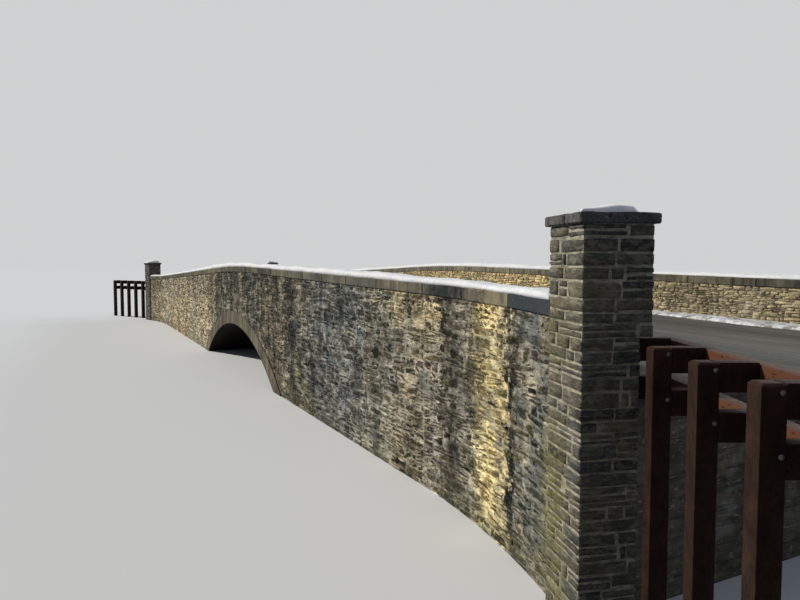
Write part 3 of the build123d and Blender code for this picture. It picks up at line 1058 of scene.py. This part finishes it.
def snow_mound(side, end, seed):
    """Drift left on a pillar's cap: thin at the outer corner, thickest past the middle, then a steep end."""
    rng = np.random.default_rng(seed)
    centre, along, outward, _ = pillar_frame(side, end)
    top = end_heights[end] + pillar_rise
    phases = rng.uniform(0, 2 * pi, 4)
    sections = []
    seen_one = (side, end) == (-1, +1)
    across = np.linspace(0, 1, 13)
    for share in np.linspace(0, 1, 30):
        out = 0.238 - (0.362 if seen_one else 0.44) * share
        rise = 0.012 + 0.036 * (share / 0.62) ** 0.8 if share < 0.62 else 0.048
        crown = rise * min(1.0, (share / 0.04) ** 0.5, ((1.0 - share) / 0.06) ** 0.5)
        crown = max(crown, 0.002) * (1 + 0.05 * sin(9 * share + phases[0]))
        high = 0.234 - 0.03 * share**3 + 0.004 * sin(14 * share + phases[2])
        low = (-0.02 if seen_one else -0.19) + 0.03 * sin(3 * share + phases[1]) + 0.06 * (1 - share) ** 2
        if seen_one:
            low = max(low, 0.226 - 1.7 * (0.238 - out))
        if end < 0:
            crown *= 1.8
        lifts = [(place, crown * (1 - abs(2 * place - 1) ** 3.2) ** 0.5 - 0.001) for place in across]
        section = []
        for place, lift in lifts + [(1, -0.003), (0, -0.003)]:
            point = centre + along * (low + (high - low) * place) + outward * out
            section.append((point.x, point.y, top + lift))
        sections.append(section)
    return snow_piece(corner_names[side, end] + "_cap_snow", sections, brightened_cap_snow)


def waves(place, phases, *terms):
    """Sum of sine waves, each with its height, its rate and the number of its phase."""
    return sum(height * sin(place * rate + phases[number]) for height, rate, number in terms)


def ribbon(name, side, margins, insets, drop, depths, seed, material, ragged=1.0):
    """Settled snow along a wall, lumpy, with a waving edge, rounded sides and blunt ends, thicker at the crown."""
    rng = np.random.default_rng(seed)
    start, stop = margins[0] - face_ends[side, -1], face_ends[side, +1] - margins[1]
    phases = rng.uniform(0, 2 * pi, 9)
    profile = ((0, -0.002), (-0.01, 0.4), (0.03, 0.78), (0.12, 0.96), (0.3, 1.04))
    profile += ((0.55, 1.0), (0.8, 0.9), (0.94, 0.66), (1, 0.3), (1, -0.002))
    stations = np.linspace(start, stop, int((stop - start) / 0.05))[1:-1]
    sections = []
    for station in (start, start + 0.006, start + 0.02, *stations, stop - 0.02, stop - 0.006, stop):
        near = max(0.0, min(1.0, (station - start) / 0.04, (stop - station) / 0.04)) ** 0.4
        swell = waves(station, phases, (0.14, 0.8, 0), (0.08, 4.3, 1), (0.03, 13, 2), (0.012, 29, 7))
        depth = depths[0] + depths[1] * max(0.0, 1 - abs(station) / 8)
        high = max(0.004, depth * (1 + swell * ragged) * near)
        low_side = insets[0] + waves(station, phases, (0.008, 3.1, 3), (0.006, 11, 4))
        reach = waves(station, phases, (0.013, 0.9, 5), (0.007, 2.7, 6), (0.003, 7.9, 1))
        high_side = insets[1] + reach * ragged**2
        section = []
        for share, rise in profile:
            x, y = face_point(side, station, low_side + (high_side - low_side) * share)
            lift = rise * high * (1 + 0.06 * sin(station * 7 + share * 9 + phases[8])) if rise > 0 else rise
            section.append((x, y, grade(x) - drop + lift))
        sections.append(section)
    return snow_piece(name, sections, material)


for number, (side, end) in enumerate(corners):
    cap_slabs(side, end, 80 + number)
    snow_mound(side, end, 90 + number)
kerb = (wall_thickness + 0.004, wall_thickness + 0.4)
for side, word in side_names.items():
    ribbon(f"{word}_coping_snow", side, (0.06, 0.045), (-0.012, 0.24), 0.0, (0.054, 0.032), 100 + side, snow)
    ribbon(f"{word}_kerb_snow", side, (0.1, 0.1), kerb, parapet_height, (0.034, 0.0), 110 + side, kerb_snow, 2.0)


def joined_shape(node):
    """Bmesh of a CAD node, with the points that its faces share joined."""
    shape = bmesh.new()
    shape.from_mesh(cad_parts[node].data)
    bmesh.ops.remove_doubles(shape, verts=shape.verts[:], dist=1e-5)
    return shape


def post_centres(node):
    """Centre in plan of each separate post of a CAD node."""
    shape = joined_shape(node)
    seen = set()
    centres = []
    for first in shape.verts:
        if first in seen:
            continue
        seen.add(first)
        group = [first]
        for member in group:
            for edge in member.link_edges:
                other = edge.other_vert(member)
                if other not in seen:
                    seen.add(other)
                    group.append(other)
        feet = [vert.co for vert in group if vert.co.z < 0.01]
        middle = sum(feet, Vector()) / len(feet)
        centres.append(Vector((middle.x, middle.y, 0)))
    shape.free()
    return centres


def timber_piece(word, part, axes, seed, tint, ease):
    """The timber of a CAD node with eased edges, and its grain laid along each beam, the first of its axes."""
    node, name = f"{word}_{part}", f"{word}_timber_{part}"
    shape = joined_shape(node)
    bmesh.ops.dissolve_limit(shape, angle_limit=0.02, verts=shape.verts[:], edges=shape.edges[:])
    bmesh.ops.recalc_face_normals(shape, faces=shape.faces[:])
    sharp = [edge for edge in shape.edges if edge.calc_face_angle(0) > 0.6]
    bmesh.ops.bevel(shape, geom=sharp, offset=ease, segments=2, profile=0.6, affect="EDGES")
    piece = seat(name, to_mesh(shape, name), timber, [node])
    mesh = piece.data
    mesh.set_sharp_from_angle(angle=radians(35))
    grain = np.array([tuple(vert.co) for vert in mesh.vertices]) @ np.array(axes).T
    pitch = np.round(grain[:, 1] / 0.2) + 3 * np.round(grain[:, 0] / 0.4)
    grain[:, 0] += pitch * 1.7
    set_attribute(mesh, "grain", grain)
    set_attribute(mesh, "tint", tint + 0.15 * np.sin(pitch * 12.9 + seed))
    return piece


rail_angle = radians(26.8)
post_side = 0.095
bolt_rises = (0.322, 0.092)
bolt_radius = 0.011
bolt_inset = 0.017


def bolts(side, end, along, inward):
    """A bolt head for each block, on both faces of every post and near its road side."""
    word = corner_names[side, end] + "_approach"
    road = end_heights[end] - parapet_height
    heads = []
    for centre in post_centres(f"{word}_posts"):
        for face in (+1, -1):
            place = centre + along * (face * post_side / 2) + inward * (post_side / 2 - bolt_inset)
            turn = atan2(face * along.y, face * along.x) + pi / 2
            for rise in bolt_rises:
                heads.append(((place.x, place.y, road + rise), [bolt_radius] * 3, turn, 0.5, 0))
    return lay(f"{word}_bolts", heads, bolt_head, bolt_steel, 0.0, 1.0)
for side, end in corners:
    word = corner_names[side, end] + "_approach"
    along = Vector((end * cos(rail_angle), side * sin(rail_angle), 0))
    inward = Vector((end * sin(rail_angle), -side * cos(rail_angle), 0))
    up = Vector((0, 0, 1))
    timber_piece(word, "posts", (up, along, inward), 5 + end, 0.25, 0.003)
    timber_piece(word, "blocks", (inward, along, up), 15 + end, 0.2, 0.004)
    timber_piece(word, "rails", (along, up, inward), 25 + end, 0.85, 0.005)
    bolts(side, end, along, inward)


def weep_pipes(side):
    """Short clay pipes that drain the fill, flush with the stones, and the silt at their back."""
    points, faces, silt_points, silt_faces = [], [], [], []
    spokes = 16
    for station, height in weep_places:
        turn = face_turn(side, station)
        across = Vector((cos(turn), sin(turn), 0))
        outward = Vector((-sin(turn) * side, cos(turn) * side, 0))
        middle = Vector((*face_point(side, station, 0), height))
        faces += grid_faces(4, spokes, start=len(points))
        for radius, depth in ((0.03, -0.004), (0.03, 0.005), (0.026, 0.006), (0.026, -0.004)):
            points += oval(middle + outward * depth, across, radius, radius * 1.15, spokes)
        silt_faces.append(range(len(silt_points), len(silt_points) + spokes))
        silt_points += oval(middle + outward * 0.0015, across, 0.0265, 0.0305, spokes)
    for word, *shape, material in (
        ("weep_pipes", points, faces, cap_stone),
        ("weep_silt", silt_points, silt_faces, weep_silt),
    ):
        name = f"{side_names[side]}_{word}"
        piece = seat(name, new_mesh(name, *shape), material)
        if side > 0:
            piece.data.flip_normals()


weep_pipes(-1)
weep_pipes(+1)

# Finishes of the CAD nodes that stay in sight
finishes = {"arch_barrel": barrel_concrete, "road_surface": asphalt, "road_fill": fill_finish()}
for word in side_names.values():
    finishes |= {f"{word}_spandrel_wall": wall_mortar, f"{word}_arch_ring": ring_concrete}
for word in corner_names.values():
    finishes |= {f"{word}_wing_wall": wall_mortar, f"{word}_pillar": pillar_mortar}
for word in end_names.values():
    finishes[f"{word}_end_wall"] = end_wall_finish()
for node, material in finishes.items():
    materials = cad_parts[node].data.materials
    materials.clear()
    materials.append(material)


def seen_directly(tree):
    """1 for rays of the camera, of gloss and through glass, which show the background as it is painted."""
    rays = tree.nodes.new("ShaderNodeLightPath").outputs
    seen = [Wire(tree, rays[name]) for name in ("Is Camera Ray", "Is Glossy Ray", "Is Transmission Ray")]
    return seen[0].highest(seen[1]).highest(seen[2])


def floor_finish():
    """Plain pale floor, darker to the light that it throws back on the bridge."""
    finish = Finish("floor", 1.0, 0.0)
    return finish.done(seen_directly(finish.tree).mix((0.2, 0.205, 0.215), (0.72, 0.74, 0.77)))


reach, floor_level = 400, -0.001
floor_corners = [(x * reach, y * reach, floor_level) for x, y in ((-1, -1), (1, -1), (1, 1), (-1, 1))]
floor_mesh = new_mesh("floor", floor_corners, [(0, 1, 2, 3)])
floor_mesh.materials.append(floor_finish())
floor = bpy.data.objects.new("floor", floor_mesh)
add_to_scene(floor)

world = bpy.data.worlds.new("studio")
bpy.context.scene.world = world
world.use_nodes = True
background = world.node_tree.nodes["Background"]
sky = seen_directly(world.node_tree).mix((0.17, 0.19, 0.225), (0.63, 0.635, 0.64))
world.node_tree.links.new(sky.socket, background.inputs["Color"])
background.inputs["Strength"].default_value = 1.0

# A low warm key from the near left, and a weak cool fill from behind
for name, energy, tone, spread, origin in (
    ("key", 4.0, (1.0, 0.94, 0.83), 4, (-0.72, -0.62, 0.5)),
    ("fill", 1.3, (0.9, 0.95, 1.0), 25, (-0.15, 0.9, 0.3)),
):
    sun = bpy.data.objects.new(name, bpy.data.lights.new(name, "SUN"))
    sun.data.energy = energy
    sun.data.color = tone
    sun.data.angle = radians(spread)
    sun.rotation_euler = Vector(origin).to_track_quat("Z", "Y").to_euler()
    add_to_scene(sun)

# Camera: where the photographer stood, worked out from the near pillar's corner
focal_pixels, frame_width, frame_height = 650, 800, 600
horizon_row = 264
eye_left, eye_back, eye_height = 0.985, 3.5, 2.075
view_turn = radians(26.8)
right = Vector((sin(view_turn), cos(view_turn), 0))
forward = Vector((-cos(view_turn), sin(view_turn), 0))
near_centre, near_along, near_outward, _ = pillar_frame(-1, +1)
corner = near_centre + (near_along + near_outward) * (pillar_side / 2)
eye = corner - right * eye_left - forward * eye_back
eye.z = eye_height
camera = bpy.data.objects.new("camera", bpy.data.cameras.new("camera"))
camera.data.sensor_width = 36
camera.data.lens = focal_pixels * camera.data.sensor_width / frame_width
camera.data.clip_end = 1000
camera.location = eye
pitch = -atan2(frame_height / 2 - horizon_row, focal_pixels)
aim = forward * cos(pitch) + Vector((0, 0, sin(pitch)))
camera.rotation_euler = aim.to_track_quat("-Z", "Y").to_euler()
add_to_scene(camera)
bpy.context.scene.camera = camera
bpy.context.scene.view_settings.view_transform = "Standard"
